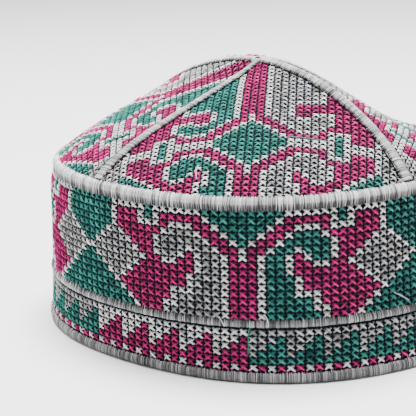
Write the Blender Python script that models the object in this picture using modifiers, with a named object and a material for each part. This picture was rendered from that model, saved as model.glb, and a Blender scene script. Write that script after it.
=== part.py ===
"""Kufi: a round brimless cap with an upright wall and a low crown of four gores.

Metres, +Z up. The cap stands on z = 0 with the middle of its rim at the origin, and the
side that faces -Y is its front. The cloth is soft, so the rim is a slightly oval ring and
the crown leans and slumps a little, as a cap does that nobody wears. Outer faces are first
worked out as the face of the stitched cloth; the cloth itself lies a stitch deeper.
"""
import math

import bmesh
import bpy
import numpy as np
from mathutils import Vector

# Wall: straight threads run from an oval rim ring to a rounder ring higher up.
RIM_RADIUS = 0.09047
RIM_RING_DEPTH = 0.0010               # the rim ring lies this far under the table's plane
UPPER_RADIUS = 0.08792
UPPER_RING_RISE = 0.075               # from the rim ring up to the upper ring
FRONT_TURN = math.radians(-5.63)      # where the front motif's middle sits on the rings
RING_LOBES = (                        # shares of a ring's radius, with angle 0 at the front
    {"order": 2, "rim_cos": -0.011, "rim_sin": 0.048, "upper_cos": -0.001, "upper_sin": -0.013},
    {"order": 4, "rim_cos": 0.006, "rim_sin": 0.0, "upper_cos": 0.006, "upper_sin": -0.002},
    {"order": 5, "rim_cos": 0.006, "rim_sin": 0.0, "upper_cos": 0.004, "upper_sin": -0.003},
)
RIM_CENTRING = (-0.0006, 0.00074)     # puts the lobed rim's middle on the origin
WAIST = 0.0006                        # how far the wall draws in halfway up
BORDER_FLARE = 0.0010                 # most that the border under the mid cord stands out by
FLARE_SIDE = math.radians(20.0)       # it does so most at a right angle less this, and least
FLARE_TOP = 0.026                     # on the other side
FLARE_FOOT = 0.018

# Cloth layers.
STITCH_DEPTH = 0.0005
WALL_THICKNESS = 0.0018
CROWN_THICKNESS = 0.0015
WALL_BOTTOM = 0.0018
WALL_TOP = 0.0650
WALL_ROWS = (WALL_BOTTOM, 0.009, FLARE_FOOT, FLARE_TOP, 0.039, 0.053, WALL_TOP)
GAP = 0.0003
SEAM_HALF_GAP = 0.0006

# Crown: it rises from the wall's top edge, and its profile changes round the cap.
CROWN_FOOT = 0.0670
CROWN_RISE = 0.0393
CROWN_SHIFT = (-0.0021, -0.0003)      # the tip's place over the rim's middle
SKIRT = 0.0010                        # upright edge of each gore, over the wall's top
TIP_RADIUS = 0.0017
PROFILE = {                           # mean, then shares of cos, sin, cos 2a and sin 2a
    "shoulder": (1.159, 0.307, -0.380, 0.149, 0.044),
    "roundness": (0.743, 0.285, -0.279, -0.085, -0.229),
    "flatness": (0.142, 0.087, 0.170, 0.014, 0.033),
    "lean": (0.056, -0.059, 0.064, 0.004, 0.006),
    "seam_turn": (-0.072, -0.016, -0.047, 0.0, 0.0),
}
FLATNESS_GROWTH = 0.814
STEEPEST_TRIM = 0.45                  # most of a gore's edge that is cut back near the tip

# Satin edgings: sizes, then their outer faces as shares of how far they stand proud.
EDGE_BELOW = 0.0027                   # crown edge cord: reach down the wall
EDGE_ABOVE = 0.0029                   # and up the crown
EDGE_PROUD = 0.0012
EDGE_FACE = {"low": 0.35, "bulge": 0.9, "shoulder": 1.05, "corner": 1.15, "top": 0.4}
EDGE_BULGE_RISE = 0.0007              # over the cord's lower edge
EDGE_SHOULDER_DROP = 0.0005           # under the wall's top corner
BORDER_LOW = 0.0212
BORDER_HIGH = 0.0234
BORDER_PROUD = 0.0008
BORDER_EDGE = 0.4
RIM_HEIGHT = 0.0040
RIM_PROUD = 0.0011
RIM_INSIDE = 0.0010                   # how far its inner face stands proud of the cloth
RIM_UNDER = 0.0012                    # solid binding under the wall's cut edge
RIM_INNER_DROP = 0.0006               # its inner edge lies lower than its outer edge by this
RIM_OUTER_FACE = ((-0.30, 0.0), (0.50, 0.16), (1.0, 0.42), (1.0, 0.72), (0.55, 1.0))
RIM_INNER_FACE = ((0.7, 1.0), (1.0, 0.32), (0.6, 0.0))    # with shares of the height beside
SEAM_WIDTH_FOOT = 0.0040
SEAM_WIDTH_TIP = 0.0029
SEAM_PROUD = 0.0010
SEAM_FACE = ((1.0, 0.2), (0.72, 0.75), (0.0, 1.0), (-0.72, 0.75), (-1.0, 0.2))

STATIONS = 72
GORE_COLUMNS = 14
GORE_ROWS = 11
SEAM_ROWS = 16
TIP_CROWDING = 1.3                    # rows lie closer together towards the tip
EIGHTH = math.pi / 4
RING_SAMPLES = 1441
FOOT_SAMPLES = 721
CROWN_SAMPLES = 701
CROWN_STEPS = (1 - np.cos(np.linspace(0.0, math.pi, CROWN_SAMPLES))) / 2
SMALL_TURN = 0.01
SMALL_STEP = 0.0004
TINY = 1e-9

COLOURS = {
    "ground": (0.012, 0.013, 0.020),
    "satin": (0.42, 0.42, 0.41),
    "satin_dark": (0.33, 0.33, 0.33),
}
CLOTH_ROUGHNESS = 0.9
SATIN_ROUGHNESS = 0.5
SMOOTH_BELOW = math.radians(45)
COLLECTION = "kufi_cap"


def harmonic(shares, angle):
    """Mean plus first and second harmonics of an angle, from a short row of shares."""
    mean, cos1, sin1, cos2, sin2 = shares
    return (mean + cos1 * math.cos(angle) + sin1 * math.sin(angle)
            + cos2 * math.cos(2 * angle) + sin2 * math.sin(2 * angle))


def smooth_step(share):
    """Eases from 0 to 1."""
    share = np.clip(share, 0.0, 1.0)
    return share * share * (3 - 2 * share)


class Ring:
    """A lobed ring in plan, which gives points by their share of the girth."""

    def __init__(self, radius, cos_key, sin_key):
        angle = np.linspace(0.0, 2 * math.pi, RING_SAMPLES)
        size = np.ones_like(angle)
        for lobe in RING_LOBES:
            size += lobe[cos_key] * np.cos(lobe["order"] * angle)
            size += lobe[sin_key] * np.sin(lobe["order"] * angle)
        self.x = radius * size * np.sin(angle)
        self.y = -radius * size * np.cos(angle)
        step = np.hypot(np.diff(self.x), np.diff(self.y))
        self.run = np.concatenate([[0.0], np.cumsum(step)])
        self.start = np.interp(FRONT_TURN % (2 * math.pi), angle, self.run)

    def at(self, share):
        """Plan point at a share of the girth, counted from the front towards the right."""
        run = (self.start + share * self.run[-1]) % self.run[-1]
        return np.array([np.interp(run, self.run, self.x), np.interp(run, self.run, self.y)])


RIM_RING = Ring(RIM_RADIUS, "rim_cos", "rim_sin")
UPPER_RING = Ring(UPPER_RADIUS, "upper_cos", "upper_sin")


def wall_point(share, height, out=0.0):
    """Point of the wall at a share of the girth and a height, moved outwards by out."""
    rise = (height + RIM_RING_DEPTH) / UPPER_RING_RISE
    plan = RIM_RING.at(share) * (1 - rise) + UPPER_RING.at(share) * rise
    flare = BORDER_FLARE * (1 + math.sin(2 * math.pi * share + FLARE_SIDE)) / 2
    push = (out - WAIST * 4 * rise * (1 - rise)
            + flare * smooth_step((FLARE_TOP - height) / (FLARE_TOP - FLARE_FOOT)))
    plan = plan * (1 + push / np.hypot(*plan))
    return Vector((plan[0], plan[1], height))


FOOT_SHARES = np.linspace(0.0, 1.0, FOOT_SAMPLES)
FOOT = np.array([wall_point(share, CROWN_FOOT)[:2] for share in FOOT_SHARES])
FOOT_ANGLE = np.unwrap(np.arctan2(FOOT[:, 0], -FOOT[:, 1]))
FOOT_RADIUS = np.hypot(FOOT[:, 0], FOOT[:, 1])


def on_foot(angle, values):
    """Value at a direction round the crown's foot, from one value for each share."""
    turned = (angle - FOOT_ANGLE[0]) % (2 * math.pi) + FOOT_ANGLE[0]
    return np.interp(turned, FOOT_ANGLE, values)


class CrownLine:
    """One line up the crown's outer face at an azimuth, with seams at odd eighths."""

    def __init__(self, azimuth):
        rise = CROWN_STEPS
        angle = (azimuth + harmonic(PROFILE["seam_turn"], azimuth)
                 + rise * harmonic(PROFILE["lean"], azimuth))
        radius = on_foot(angle, FOOT_RADIUS)
        at_seam = (1 - rise ** harmonic(PROFILE["shoulder"], azimuth))
        at_seam = np.maximum(at_seam, TINY) ** harmonic(PROFILE["roundness"], azimuth)
        flatness = harmonic(PROFILE["flatness"], azimuth)
        at_middle = at_seam * (1 - flatness * (1 - (1 - rise) ** FLATNESS_GROWTH))
        off_middle = (azimuth + EIGHTH) % (2 * EIGHTH) - EIGHTH
        bow = (1 / at_middle - 1 / at_seam) / (1 - math.cos(EIGHTH))
        reach = radius / (1 / at_middle - bow + bow * math.cos(off_middle))
        inward = smooth_step(1 - reach / radius)
        self.points = np.column_stack((reach * np.sin(angle) + CROWN_SHIFT[0] * inward,
                                       -reach * np.cos(angle) + CROWN_SHIFT[1] * inward,
                                       CROWN_FOOT + CROWN_RISE * rise))
        self.reach = np.hypot(self.points[:, 0] - CROWN_SHIFT[0],
                              self.points[:, 1] - CROWN_SHIFT[1])
        step = np.linalg.norm(np.diff(self.points, axis=0), axis=1)
        self.run = np.concatenate([[0.0], np.cumsum(step)])
        self.share = on_foot(angle[0], FOOT_SHARES)

    def at(self, reach):
        """Point at a plan distance from the crown's tip."""
        return Vector([np.interp(-reach, -self.reach, self.points[:, k]) for k in range(3)])

    def reach_after(self, run):
        """Plan distance from the tip at a length up the line from its foot."""
        return float(np.interp(run, self.run, self.reach))


def crown_frame(azimuth, reach):
    """Point, tangent towards the tip and outward normal at a distance from the tip."""
    line = CrownLine(azimuth)
    reach = min(reach, line.reach[0])
    tangent = line.at(max(reach - SMALL_STEP, 0.0)) - line.at(reach + SMALL_STEP)
    side = (CrownLine(azimuth + SMALL_TURN).at(reach)
            - CrownLine(azimuth - SMALL_TURN).at(reach))
    return line.at(reach), tangent.normalized(), side.cross(tangent).normalized()


def wall_level(share):
    """Outward direction of the wall, level with the table, at the crown's foot."""
    foot = wall_point(share, CROWN_FOOT)
    return (wall_point(share, CROWN_FOOT, SMALL_STEP) - foot).normalized()


def crown_corner(azimuth, out):
    """Point where the wall and the crown meet, with both moved outwards by out."""
    line = CrownLine(azimuth)
    level = wall_level(line.share)
    normal = crown_frame(azimuth, line.reach_after(2 * SMALL_STEP))[2]
    lift = Vector((0, 0, out * (1 - normal.dot(level)) / normal.z))
    return Vector(line.points[0]) + level * out + lift


def material(name, colour, roughness):
    """Principled material with one colour."""
    made = bpy.data.materials.new(name)
    made.use_nodes = True
    shader = made.node_tree.nodes["Principled BSDF"]
    shader.inputs["Base Color"].default_value = (*colour, 1.0)
    shader.inputs["Roughness"].default_value = roughness
    shader.inputs["Metallic"].default_value = 0.0
    return made


def add_object(name, mesh, collection, colour, roughness):
    """Puts a mesh in the scene as a smooth object with its own material."""
    mesh.shade_smooth()
    mesh.set_sharp_from_angle(angle=SMOOTH_BELOW)
    thing = bpy.data.objects.new(name, mesh)
    thing.location = (*RIM_CENTRING, 0.0)
    thing.data.materials.append(material(name, COLOURS[colour], roughness))
    collection.objects.link(thing)
    return thing


def add_cloth(name, rows, closed, thickness, collection):
    """Cloth: an open sheet of quads between rows of points, thickened inwards."""
    body = bmesh.new()
    lines = [[body.verts.new(point) for point in row] for row in rows]
    count = len(rows[0])
    for low, high in zip(lines, lines[1:]):
        for i in range(count if closed else count - 1):
            j = (i + 1) % count
            body.faces.new((low[i], low[j], high[j], high[i]))
    mesh = bpy.data.meshes.new(name)
    body.to_mesh(mesh)
    body.free()
    thing = add_object(name, mesh, collection, "ground", CLOTH_ROUGHNESS)
    solid = thing.modifiers.new("cloth", "SOLIDIFY")
    solid.thickness = thickness
    solid.offset = -1.0


def add_loft(name, sections, closed, colour, collection):
    """Edging: a closed solid through sections, round in a ring or with two flat ends."""
    body = bmesh.new()
    loops = [[body.verts.new(point) for point in section] for section in sections]
    pairs = list(zip(loops, loops[1:]))
    if closed:
        pairs.append((loops[-1], loops[0]))
    else:
        body.faces.new(loops[0])
        body.faces.new(list(reversed(loops[-1])))
    for first, second in pairs:
        for i in range(len(first)):
            j = (i + 1) % len(first)
            body.faces.new((first[j], first[i], second[i], second[j]))
    bmesh.ops.recalc_face_normals(body, faces=body.faces)
    mesh = bpy.data.meshes.new(name)
    body.to_mesh(mesh)
    body.free()
    add_object(name, mesh, collection, colour, SATIN_ROUGHNESS)


def wall_ring(name, shape, colour, collection):
    """Edging round the wall, from one section of (outwards, height) points."""
    sections = [[wall_point(i / STATIONS, height, out) for out, height in shape]
                for i in range(STATIONS)]
    add_loft(name, sections, True, colour, collection)


def build_wall(collection):
    """Upright wall: one ring of cloth from the rim binding to the crown edge cord."""
    rows = [[wall_point(i / STATIONS, height, -STITCH_DEPTH) for i in range(STATIONS)]
            for height in WALL_ROWS]
    add_cloth("side_wall", rows, True, WALL_THICKNESS, collection)


def build_gore(name, middle, collection):
    """One of the four crown gores, with an upright edge that meets the wall."""
    centre = CrownLine(middle)
    edge_runs = (EDGE_ABOVE / 2, EDGE_ABOVE + GAP)
    insets = [1 - (1 - (i + 1) / GORE_ROWS) ** TIP_CROWDING for i in range(GORE_ROWS)]
    spread = [2 * j / GORE_COLUMNS - 1 for j in range(GORE_COLUMNS + 1)]

    def trimmed(across, reach):
        trim = math.asin(min(SEAM_HALF_GAP / reach, STEEPEST_TRIM))
        return middle + across * (EIGHTH - trim)

    def on_cloth(azimuth, reach):
        point, _, normal = crown_frame(azimuth, reach)
        return point - normal * STITCH_DEPTH

    foot_azimuths = [trimmed(across, centre.reach[0]) for across in spread]
    rows = [[wall_point(CrownLine(azimuth).share, CROWN_FOOT - SKIRT, -STITCH_DEPTH)
             for azimuth in foot_azimuths],
            [crown_corner(azimuth, -STITCH_DEPTH) for azimuth in foot_azimuths]]
    for run in edge_runs:
        rows.append([on_cloth(azimuth, CrownLine(azimuth).reach_after(run))
                     for azimuth in foot_azimuths])
    starts = [CrownLine(azimuth).reach_after(edge_runs[-1]) for azimuth in foot_azimuths]
    for inset in insets:
        reaches = [start + (TIP_RADIUS - start) * inset for start in starts]
        rows.append([on_cloth(trimmed(across, reach), reach)
                     for across, reach in zip(spread, reaches)])
    add_cloth(name, rows, False, CROWN_THICKNESS, collection)


def build_crown_edge(collection):
    """Satin edging that covers the joint of the wall and the crown."""
    inside = GAP - STITCH_DEPTH
    low = CROWN_FOOT - EDGE_BELOW
    face = {place: EDGE_PROUD * share for place, share in EDGE_FACE.items()}
    sections = []
    for i in range(STATIONS):
        azimuth = 2 * math.pi * i / STATIONS
        line = CrownLine(azimuth)
        halfway, _, half_normal = crown_frame(azimuth, line.reach_after(EDGE_ABOVE / 2))
        top, _, top_normal = crown_frame(azimuth, line.reach_after(EDGE_ABOVE))
        foot = wall_point(line.share, CROWN_FOOT)
        outwards = (wall_level(line.share) + half_normal).normalized()
        sections.append([
            wall_point(line.share, low, face["low"]),
            wall_point(line.share, low, inside),
            crown_corner(azimuth, inside),
            halfway + half_normal * inside,
            top + top_normal * inside,
            top + top_normal * face["top"],
            halfway + half_normal * EDGE_PROUD,
            foot + outwards * face["corner"],
            wall_point(line.share, CROWN_FOOT - EDGE_SHOULDER_DROP, face["shoulder"]),
            wall_point(line.share, low + EDGE_BULGE_RISE, face["bulge"])])
    add_loft("crown_edge_cord", sections, True, "satin", collection)


def build_border_cord(collection):
    """Thin satin line between the figured field and the toothed border."""
    inside = GAP - STITCH_DEPTH
    edge = BORDER_PROUD * BORDER_EDGE
    middle = (BORDER_LOW + BORDER_HIGH) / 2
    wall_ring("border_cord", (
        (edge, BORDER_LOW), (inside, BORDER_LOW), (inside, middle), (inside, BORDER_HIGH),
        (edge, BORDER_HIGH), (BORDER_PROUD, middle)), "satin_dark", collection)


def build_rim_binding(collection):
    """Satin binding folded round the wall's bottom edge, flat where it meets a table."""
    slot_outer = GAP - STITCH_DEPTH
    slot_inner = -STITCH_DEPTH - WALL_THICKNESS - GAP
    inner_top = RIM_HEIGHT - RIM_INNER_DROP
    outer_face = [(RIM_PROUD * out, RIM_HEIGHT * up) for out, up in RIM_OUTER_FACE]
    slot = [(slot_outer, RIM_HEIGHT), (slot_outer, RIM_UNDER), (slot_inner, RIM_UNDER),
            (slot_inner, inner_top)]
    inner_face = [(slot_inner - RIM_INSIDE * out, inner_top * up) for out, up in RIM_INNER_FACE]
    wall_ring("rim_binding", outer_face + slot + inner_face, "satin_dark", collection)


def seam_section(azimuth, reach, facing, normal):
    """Section of a seam's edging; its inner face follows the fold between two gores."""
    width = SEAM_WIDTH_TIP + (SEAM_WIDTH_FOOT - SEAM_WIDTH_TIP) * reach / RIM_RADIUS
    half = width / 2
    inside = GAP - STITCH_DEPTH
    shape = [(across, inside) for across in (-1.0, 0.0, 1.0)]
    shape += [(across, SEAM_PROUD * up) for across, up in SEAM_FACE]
    section = []
    for across, up in shape:
        swing = math.atan2(abs(across) * half, reach)
        turned = azimuth + math.copysign(swing, across * facing) if across else azimuth
        surface = CrownLine(turned).at(math.hypot(reach, across * half))
        section.append(surface + normal * up)
    return section


def build_seams(collection):
    """Satin edging on the four seams: one runs over the tip, two others end beside it."""

    def strand(azimuth, end_reach, facing=1.0):
        start = CrownLine(azimuth).reach_after(EDGE_ABOVE + 2 * GAP)
        steps = [(1 - i / (SEAM_ROWS - 1)) ** TIP_CROWDING for i in range(SEAM_ROWS)]
        reaches = [end_reach + (start - end_reach) * step for step in steps]
        return [seam_section(azimuth, reach, facing, crown_frame(azimuth, reach)[2])
                for reach in reaches]

    front_left, back_right = -EIGHTH, 3 * EIGHTH
    beside_tip = SEAM_WIDTH_TIP / 3
    top = [seam_section(front_left, 0.0, 1.0, Vector((0, 0, 1)))]
    sections = (strand(front_left, beside_tip) + top
                + list(reversed(strand(back_right, beside_tip, -1.0))))
    add_loft("seam_over_tip", sections, False, "satin", collection)
    for name, azimuth in (("seam_front_right", EIGHTH), ("seam_back_left", -3 * EIGHTH)):
        add_loft(name, strand(azimuth, SEAM_WIDTH_TIP / 2 + 2 * GAP), False, "satin",
                 collection)


def main():
    """Clears the scene and builds the cap."""
    for thing in list(bpy.data.objects):
        bpy.data.objects.remove(thing, do_unlink=True)
    collection = bpy.data.collections.new(COLLECTION)
    bpy.context.scene.collection.children.link(collection)
    build_wall(collection)
    for name, middle in (("gore_front", 0.0), ("gore_right", 2 * EIGHTH),
                         ("gore_back", 4 * EIGHTH), ("gore_left", -2 * EIGHTH)):
        build_gore(name, middle, collection)
    build_crown_edge(collection)
    build_border_cord(collection)
    build_rim_binding(collection)
    build_seams(collection)


main()
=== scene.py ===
"""Looks of a cross-stitched kufi: every stitch, satin thread and cloth face round the frame.

Lengths are in metres. Heights and plan places are the frame's own: the cap stands on z = 0,
its front faces -Y, and columns of stitches are counted from the front towards the right.
"""
import logging
import math
from dataclasses import dataclass, field
from enum import Enum
from typing import Dict, Iterator, List, Sequence, Tuple, Union

import bpy
import numpy as np
from mathutils import Matrix, Vector


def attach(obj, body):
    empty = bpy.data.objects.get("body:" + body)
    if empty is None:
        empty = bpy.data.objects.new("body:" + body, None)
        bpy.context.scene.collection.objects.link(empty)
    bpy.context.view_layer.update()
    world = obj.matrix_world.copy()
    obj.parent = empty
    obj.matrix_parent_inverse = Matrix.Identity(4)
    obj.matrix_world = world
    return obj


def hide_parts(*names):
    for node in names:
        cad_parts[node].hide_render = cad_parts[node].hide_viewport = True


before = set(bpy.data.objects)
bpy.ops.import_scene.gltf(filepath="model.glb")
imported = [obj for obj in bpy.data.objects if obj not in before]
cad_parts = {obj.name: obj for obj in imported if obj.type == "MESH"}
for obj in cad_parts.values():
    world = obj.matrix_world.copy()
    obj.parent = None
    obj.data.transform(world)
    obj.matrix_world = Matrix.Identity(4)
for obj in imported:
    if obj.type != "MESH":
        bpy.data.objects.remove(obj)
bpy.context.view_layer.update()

LOG = logging.getLogger("kufi")
BODY = "root"
CLOTH_SLOT = "stitched_cloth"
SATIN_SLOT = "satin_edging"
MM = 0.001
EIGHTH = math.pi / 4
RING_SAMPLES = 1441
Pair = Tuple[float, float]
Triple = Tuple[float, float, float]


class Colour(Enum):
    """Thread colours of the charts, by the letter that the charts use."""

    MAGENTA = "m"
    GREEN = "g"
    GREY = "a"
    WHITE = "w"


class Half(Enum):
    """The two halves of a motif, by the colour that fills its scrolls."""

    GREEN = "g"
    GREY = "a"


# Shapes

def smooth_step(share: np.ndarray) -> np.ndarray:
    """Eases from 0 to 1."""
    share = np.clip(share, 0.0, 1.0)
    return share * share * (3 - 2 * share)


def run_along(points: np.ndarray) -> np.ndarray:
    """Lengths from the first point of a line to each of its points."""
    return np.concatenate([[0.0], np.cumsum(np.linalg.norm(np.diff(points, axis=0), axis=1))])


def unit(vectors: np.ndarray, least: float = 1e-12) -> np.ndarray:
    """Scales vectors to length one, but for those that are shorter than the least length."""
    return vectors / np.maximum(np.linalg.norm(vectors, axis=-1, keepdims=True), least)


def eased(count: int) -> np.ndarray:
    """Places from 0 to 1 that lie closer together at both ends."""
    return (1 - np.cos(np.linspace(0.0, math.pi, count))) / 2


@dataclass(frozen=True)
class Lobe:
    """One soft lobe of the wall's two plan rings, as shares of the radius."""

    order: int
    rim_cos: float
    rim_sin: float
    upper_cos: float
    upper_sin: float


@dataclass
class WallShape:
    """The upright wall's outer stitched face, ruled between an oval rim and a rounder ring."""

    rim_radius: float = 0.09047
    rim_ring_depth: float = 0.0010
    upper_radius: float = 0.08792
    upper_ring_rise: float = 0.075
    front_turn: float = math.radians(-5.63)
    centring: Pair = (-0.0006, 0.00074)
    waist: float = 0.0006
    flare: float = 0.0010
    flare_side: float = math.radians(20.0)
    flare_top: float = 0.026
    flare_foot: float = 0.018
    tuck: float = 0.0020
    tuck_foot: float = 0.058
    tuck_top: float = 0.0675
    lobes: Tuple[Lobe, ...] = (Lobe(2, -0.011, 0.048, -0.001, -0.013),
                               Lobe(4, 0.006, 0.0, 0.006, -0.002),
                               Lobe(5, 0.006, 0.0, 0.004, -0.003))

    def __post_init__(self) -> None:
        """Measures both rings once, so that points can be asked for by girth share."""
        self._rings = [self._ring(self.rim_radius, "rim"), self._ring(self.upper_radius, "upper")]
        self.girth = self._rings[0][2][-1]

    def _ring(self, radius: float, end: str) -> Tuple[np.ndarray, ...]:
        """Samples one ring.

        Args:
            radius: its mean radius.
            end: "rim" or "upper", for the lobes' shares there.

        Returns:
            Plan x, plan y and the run along the ring, and the run at the front.
        """
        angle = np.linspace(0.0, 2 * math.pi, RING_SAMPLES)
        size = np.ones_like(angle)
        for lobe in self.lobes:
            size += getattr(lobe, f"{end}_cos") * np.cos(lobe.order * angle)
            size += getattr(lobe, f"{end}_sin") * np.sin(lobe.order * angle)
        x, y = radius * size * np.sin(angle), -radius * size * np.cos(angle)
        run = run_along(np.stack([x, y], axis=1))
        return x, y, run, np.interp(self.front_turn % (2 * math.pi), angle, run)

    def tucked(self, share: np.ndarray, height: np.ndarray) -> np.ndarray:
        """How far the wall's top bends inwards, most of all at the left side.

        Args:
            share: share of the girth from the front, towards the right.
            height: height over the floor.

        Returns:
            Distances inwards.
        """
        left = ((1 - np.sin(2 * math.pi * share)) / 2) ** 2
        return self.tuck * left * smooth_step(
            (height - self.tuck_foot) / (self.tuck_top - self.tuck_foot))

    def at(self, share: np.ndarray, height: np.ndarray, out: np.ndarray = 0.0) -> np.ndarray:
        """Points of the wall.

        Args:
            share: share of the girth from the front, towards the right.
            height: height over the floor.
            out: distance outwards from the stitched face.

        Returns:
            One row of x, y, z for each point.
        """
        share, height, out = np.broadcast_arrays(*map(np.asarray, (share, height, out)))
        rise = (height + self.rim_ring_depth) / self.upper_ring_rise
        plan = np.zeros(share.shape + (2,))
        for weight, (x, y, run, start) in zip((1 - rise, rise), self._rings):
            place = (start + share * run[-1]) % run[-1]
            plan[..., 0] += weight * np.interp(place, run, x)
            plan[..., 1] += weight * np.interp(place, run, y)
        flare = self.flare * (1 + np.sin(2 * math.pi * share + self.flare_side)) / 2
        push = (out - self.waist * 4 * rise * (1 - rise) + flare * smooth_step(
            (self.flare_top - height) / (self.flare_top - self.flare_foot))
            - self.tucked(share, height))
        plan *= (1 + push / np.hypot(plan[..., 0], plan[..., 1]))[..., None]
        return np.concatenate([plan + np.asarray(self.centring), height[..., None]], axis=-1)


@dataclass
class CrownShape:
    """The crown's outer stitched face: four gores that slump and lean a little."""

    wall: WallShape
    foot: float = 0.0670
    rise: float = 0.0393
    shift: Pair = (-0.0021, -0.0003)
    shoulder: Tuple[float, ...] = (1.159, 0.307, -0.380, 0.149, 0.044)
    roundness: Tuple[float, ...] = (0.743, 0.285, -0.279, -0.085, -0.229)
    flatness: Tuple[float, ...] = (0.142, 0.087, 0.170, 0.014, 0.033)
    lean: Tuple[float, ...] = (0.056, -0.059, 0.064, 0.004, 0.006)
    seam_turn: Tuple[float, ...] = (-0.072, -0.016, -0.047, 0.0, 0.0)
    flatness_growth: float = 0.814
    tuck_reach: float = 0.7
    probe_turn: float = 0.01
    probe_rise: float = 0.004
    near_tip: float = 0.9998

    def __post_init__(self) -> None:
        """Measures the foot ring, where the crown leaves the wall."""
        self._share = np.linspace(0.0, 1.0, RING_SAMPLES)
        self._tuck = self.wall.tucked(self._share, self.foot)
        plan = self.wall.at(self._share, self.foot, self._tuck)[:, :2]
        plan -= np.asarray(self.wall.centring)
        self._angle = np.unwrap(np.arctan2(plan[:, 0], -plan[:, 1]))
        self._radius = np.hypot(plan[:, 0], plan[:, 1])

    @staticmethod
    def harmonic(shares: Sequence[float], angle: np.ndarray) -> np.ndarray:
        """Value that swings once and twice round the crown.

        Args:
            shares: mean, then cosine and sine shares of the first and second harmonics.
            angle: direction from the middle.

        Returns:
            The value at each angle.
        """
        mean, cos1, sin1, cos2, sin2 = shares
        return (mean + cos1 * np.cos(angle) + sin1 * np.sin(angle)
                + cos2 * np.cos(2 * angle) + sin2 * np.sin(2 * angle))

    def _on_foot(self, angle: np.ndarray, values: np.ndarray) -> np.ndarray:
        """Value at a direction round the foot ring."""
        return np.interp((angle - self._angle[0]) % (2 * math.pi) + self._angle[0],
                         self._angle, values)

    def foot_radius(self, angle: np.ndarray) -> np.ndarray:
        """Plan radius of the foot ring at a direction."""
        return self._on_foot(angle, self._radius)

    def share(self, azimuth: np.ndarray) -> np.ndarray:
        """Share of the wall's girth under a crown line, at the crown's foot."""
        return self._on_foot(azimuth + self.harmonic(self.seam_turn, azimuth), self._share)

    def at(self, azimuth: np.ndarray, rise: np.ndarray) -> np.ndarray:
        """Points of the crown.

        Args:
            azimuth: where a line starts at the foot, with seams at odd eighths of a turn.
            rise: share of the crown's rise, from the foot to the tip.

        Returns:
            One row of x, y, z for each point.
        """
        azimuth, rise = np.broadcast_arrays(np.asarray(azimuth, float), np.asarray(rise, float))
        angle = (azimuth + self.harmonic(self.seam_turn, azimuth)
                 + rise * self.harmonic(self.lean, azimuth))
        radius = self.foot_radius(angle)
        at_seam = np.maximum(1 - rise ** self.harmonic(self.shoulder, azimuth), 1e-9)
        at_seam = at_seam ** self.harmonic(self.roundness, azimuth)
        flatness = self.harmonic(self.flatness, azimuth)
        at_middle = at_seam * (1 - flatness * (1 - (1 - rise) ** self.flatness_growth))
        off_middle = (azimuth + EIGHTH) % (2 * EIGHTH) - EIGHTH
        bow = (1 / at_middle - 1 / at_seam) / (1 - math.cos(EIGHTH))
        reach = radius / (1 / at_middle - bow + bow * np.cos(off_middle))
        inward = smooth_step(1 - reach / radius)
        reach = reach - self._on_foot(angle, self._tuck) * smooth_step(
            (reach / radius - self.tuck_reach) / (1 - self.tuck_reach))
        return np.stack([
            reach * np.sin(angle) + self.shift[0] * inward + self.wall.centring[0],
            -reach * np.cos(angle) + self.shift[1] * inward + self.wall.centring[1],
            self.foot + self.rise * rise], axis=-1)

    def normal(self, azimuth: np.ndarray, rise: np.ndarray) -> np.ndarray:
        """Outward normals of the crown.

        Args:
            azimuth: where a line starts at the foot.
            rise: share of the crown's rise.

        Returns:
            One row of x, y, z for each point.
        """
        side = (self.at(azimuth + self.probe_turn, rise)
                - self.at(azimuth - self.probe_turn, rise))
        up = (self.at(azimuth, np.minimum(rise + self.probe_rise, self.near_tip))
              - self.at(azimuth, np.maximum(rise - self.probe_rise, 0.0)))
        return unit(np.cross(side, up))


@dataclass
class Sheet:
    """A patch of surface as a grid of points, read by two coordinates that need not be even."""

    rows: np.ndarray
    columns: np.ndarray
    points: np.ndarray

    def __post_init__(self) -> None:
        """Works out the outward normals of the grid."""
        self.normals = unit(np.cross(np.gradient(self.points, axis=1),
                                     np.gradient(self.points, axis=0)))

    @staticmethod
    def _index(wanted: np.ndarray, places: np.ndarray) -> np.ndarray:
        """Fractional index of a coordinate, kept just short of the last place."""
        return np.clip(np.interp(wanted, places, np.arange(len(places))), 0, len(places) - 1.001)

    def at(self, row: np.ndarray, column: np.ndarray, out: np.ndarray) -> np.ndarray:
        """Points of the patch.

        Args:
            row: row coordinate.
            column: column coordinate.
            out: distance outwards from the patch.

        Returns:
            One row of x, y, z for each point.
        """
        i, j = self._index(row, self.rows), self._index(column, self.columns)
        i0, j0 = i.astype(int), j.astype(int)
        a, b = (i - i0)[..., None], (j - j0)[..., None]

        def blend(grid: np.ndarray) -> np.ndarray:
            """Reads a grid between its four nearest points."""
            low = grid[i0, j0] * (1 - b) + grid[i0, j0 + 1] * b
            high = grid[i0 + 1, j0] * (1 - b) + grid[i0 + 1, j0 + 1] * b
            return low * (1 - a) + high * a

        return blend(self.points) + blend(self.normals) * np.asarray(out)[..., None]


# Shaders

class Wire:
    """A shader socket that takes part in Python expressions as a number."""

    def __init__(self, board: "Board", socket: bpy.types.NodeSocket) -> None:
        """Wraps one output socket."""
        self.board = board
        self.socket = socket

    def __add__(self, other: "Value") -> "Wire":
        """Sum."""
        return self.board.math("ADD", self, other)

    __radd__ = __add__

    def __mul__(self, other: "Value") -> "Wire":
        """Product."""
        return self.board.math("MULTIPLY", self, other)

    __rmul__ = __mul__

    def __sub__(self, other: "Value") -> "Wire":
        """Difference."""
        return self.board.math("SUBTRACT", self, other)

    def __rsub__(self, other: "Value") -> "Wire":
        """Difference with the wire on the right."""
        return self.board.math("SUBTRACT", other, self)


Value = Union[Wire, float, Tuple[float, ...]]


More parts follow.
